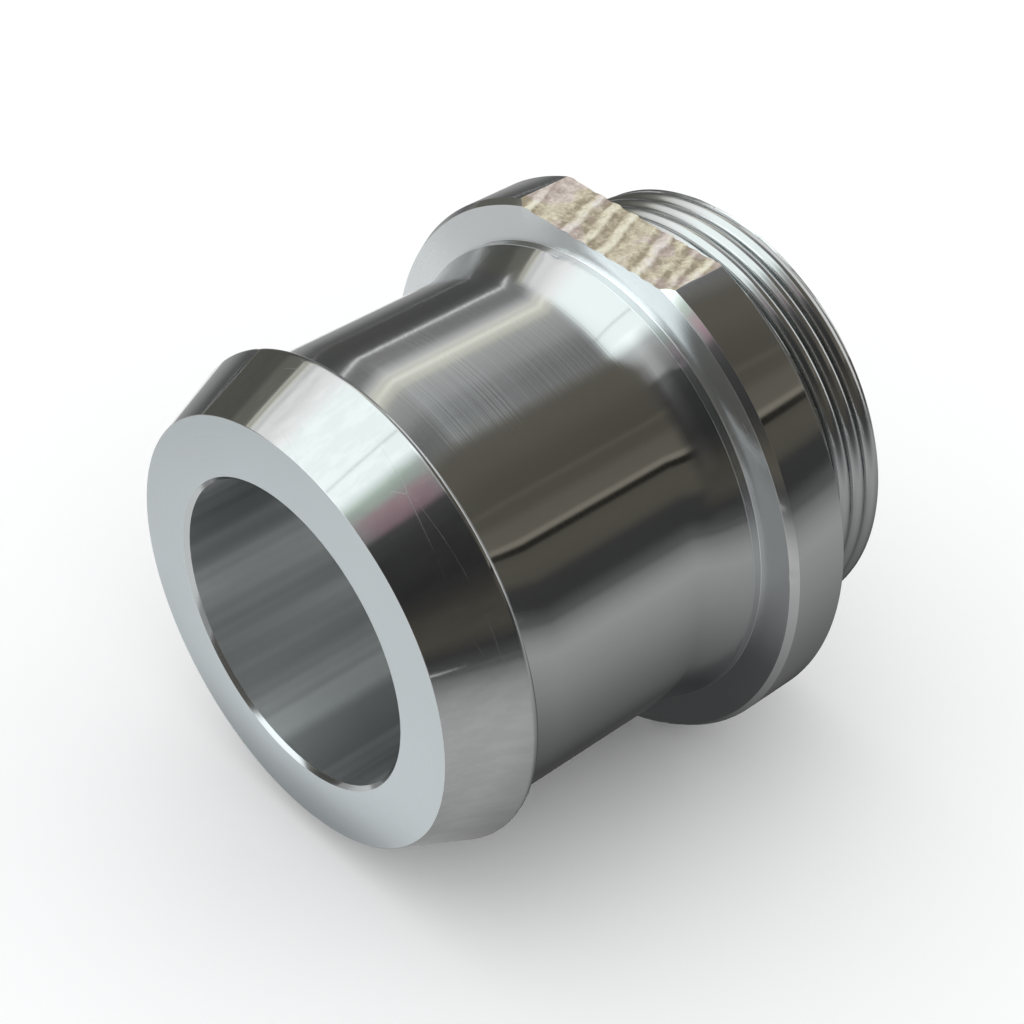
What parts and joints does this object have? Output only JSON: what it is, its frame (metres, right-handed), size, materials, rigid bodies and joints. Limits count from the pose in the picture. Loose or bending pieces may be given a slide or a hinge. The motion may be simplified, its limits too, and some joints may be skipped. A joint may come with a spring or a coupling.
{
  "type": "hose adapter",
  "caption": "One-piece turned hose adapter: a hose tail with a holding lip, a flanged collar with wrench flats and a threaded spigot, bored through.",
  "frame": {"origin": "on the bore axis, in the plane of the collar's sealing shoulder", "axes": "+X along the bore axis from the hose end to the thread, +Z square to the upper wrench flat"},
  "size_m": [0.0413, 0.043, 0.0402],
  "materials": {
    "turned_steel": "bright turned, with satin end faces and rough milled flats"
  },
  "bodies": {
    "root": {"adapter_body": "turned_steel"}
  },
  "joints": []
}
